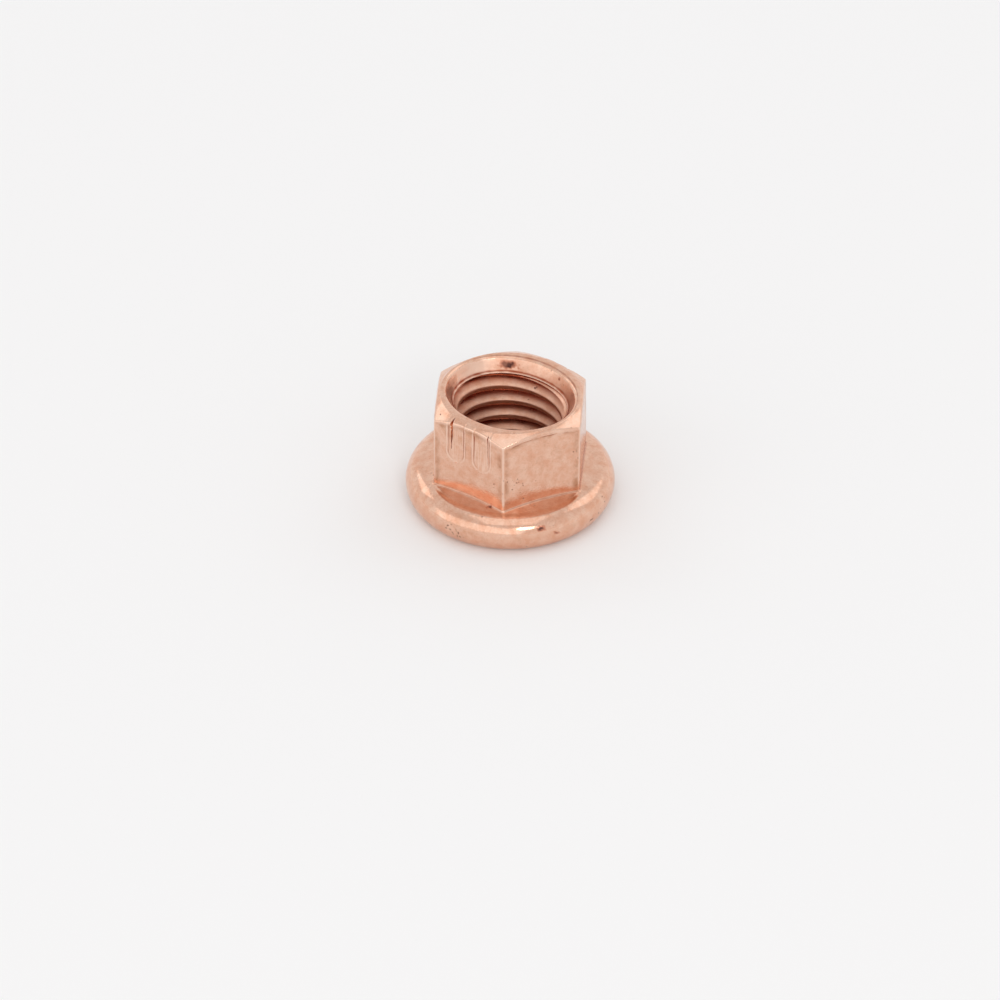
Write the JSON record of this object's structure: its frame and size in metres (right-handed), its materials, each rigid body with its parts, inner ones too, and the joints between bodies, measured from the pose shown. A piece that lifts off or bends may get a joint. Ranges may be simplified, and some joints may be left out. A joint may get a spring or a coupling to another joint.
{
  "type": "self-locking hexagon flange nut",
  "caption": "Copper-plated steel hexagon flange nut with a round-rimmed flange and a crimped self-locking end, for wheel and exhaust manifold studs.",
  "frame": {"origin": "on the thread axis, in the plane of the flange's bearing face", "axes": "+Z along the thread axis from the bearing face towards the hexagon end, +X through two opposite corners of the hexagon, +Y and -Y out of the two crimped flats"},
  "size_m": [0.0172, 0.0172, 0.0102],
  "materials": {
    "copper_plate": "satin copper flash over cold-formed steel"
  },
  "bodies": {
    "root": {"flange_nut": "copper_plate"}
  },
  "joints": []
}
